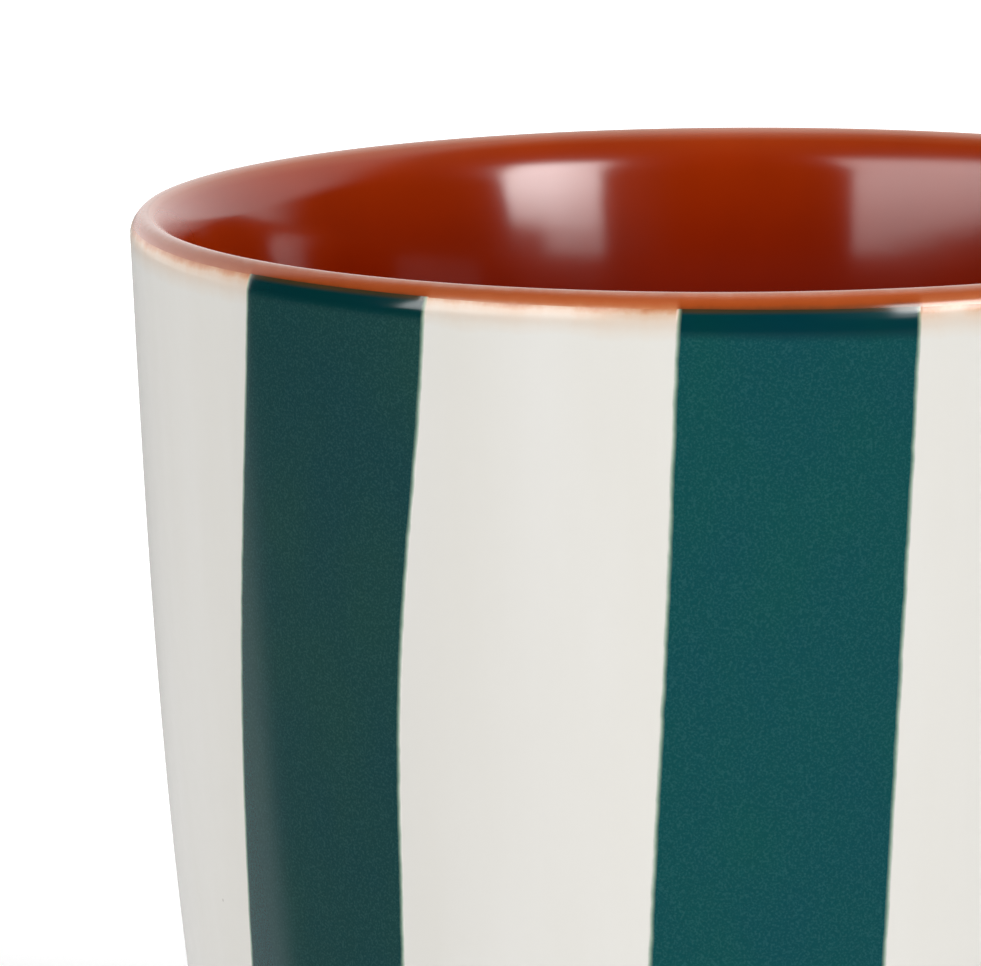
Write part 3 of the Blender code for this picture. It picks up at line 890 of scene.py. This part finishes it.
def sweep_light(graph, azimuth, elevation):
    """The white sweep behind the cup, dimmer under the horizon and leaning at its right end."""
    below = graph.math("MAXIMUM", graph.minus(SWEEP_LEAN_START, elevation), 0.0)
    right = graph.smooth(graph.minus(azimuth, below), *SWEEP_RIGHT)
    left = graph.times(graph.smooth(azimuth, *SWEEP_LEFT), SWEEP_LEFT_GAIN)
    low = graph.scaled(graph.smooth(elevation, -6.0, 2.0), *SWEEP_LIGHT_LOW)
    high = graph.scaled(graph.smooth(elevation, 38.0, 22.0), *SWEEP_LIGHT_HIGH)
    return graph.times(graph.math("MAXIMUM", right, left), low, high)


def make_world():
    """A white sweep behind the cup, a dark room in front, two soft windows and a soft top light."""
    world = bpy.data.worlds.new("studio")
    bpy.context.scene.world = world
    world.use_nodes = True
    graph = Graph(world.node_tree)
    direction = graph.add("SeparateXYZ", {"Vector": graph.add("TexCoord").outputs["Generated"]})
    x, y, z = direction.outputs
    azimuth = graph.times(graph.math("ARCTAN2", x, graph.times(y, -1.0)), 180 / math.pi)
    elevation = graph.times(graph.math("ARCSINE", z), 180 / math.pi)
    table = graph.times(graph.smooth(elevation, -10.5, -12.5), TABLE_LIGHT)
    overhead = graph.times(graph.smooth(elevation, 66.0, 86.0), OVERHEAD_LIGHT)
    total = graph.plus(table, ROOM_LIGHT, right_window_light(graph, azimuth, elevation),
                       left_window_light(graph, azimuth, elevation), overhead,
                       sweep_light(graph, azimuth, elevation))
    light = graph.add("Background", {"Color": (1.0, 1.0, 1.0, 1.0), "Strength": total})
    seen = graph.add("Background", {"Color": (1.0, 1.0, 1.0, 1.0), "Strength": BACKDROP_LIGHT})
    eye = graph.add("LightPath").outputs["Is Camera Ray"]
    mixed = graph.add("MixShader", {0: eye, 1: light.outputs[0], 2: seen.outputs[0]})
    graph.add("OutputWorld", {"Surface": mixed.outputs[0]})


FLOOR_RADIUS = 2.5
FLOOR_COLOUR = (0.80, 0.80, 0.80, 1.0)
FLOOR_GLOW = (0.10, 0.80)               # in front of the cup, and behind it
FLOOR_GLOW_EDGE = (0.12, 0.32)          # metres behind the cup where it starts and where it is full


def make_floor():
    """A pale round floor that is brighter behind the cup."""
    bpy.ops.mesh.primitive_circle_add(vertices=96, radius=FLOOR_RADIUS, fill_type="NGON")
    floor = bpy.context.object
    floor.name = "floor"
    material, graph = new_material("pale_floor")
    behind = graph.smooth(axis_coordinates(graph)[1], *FLOOR_GLOW_EDGE)
    glow = graph.scaled(behind, *FLOOR_GLOW)
    shader = graph.add("BsdfPrincipled", {"Base Color": FLOOR_COLOUR, "Roughness": 0.9,
                                          "Emission Color": (1, 1, 1, 1), "Emission Strength": glow})
    graph.add("OutputMaterial", {"Surface": shader.outputs["BSDF"]})
    floor.data.materials.append(material)
    floor.visible_glossy = False


def main():
    bpy.context.scene.view_settings.view_transform = "Standard"
    make_camera()
    make_world()
    make_floor()
    clay = make_clay_material()
    slip = make_slip_material()
    make_cup_clay(clay)
    make_lining(make_lining_material())
    make_slip(slip)
    make_handle_slip(slip)
    paints = {tone: make_paint_material(tone) for tone in TEALS}
    for name in STRIPES:
        make_stripe(name, paints[STRIPE_TONES.get(name, "bright")])
    dress_cad_nodes(clay)


main()
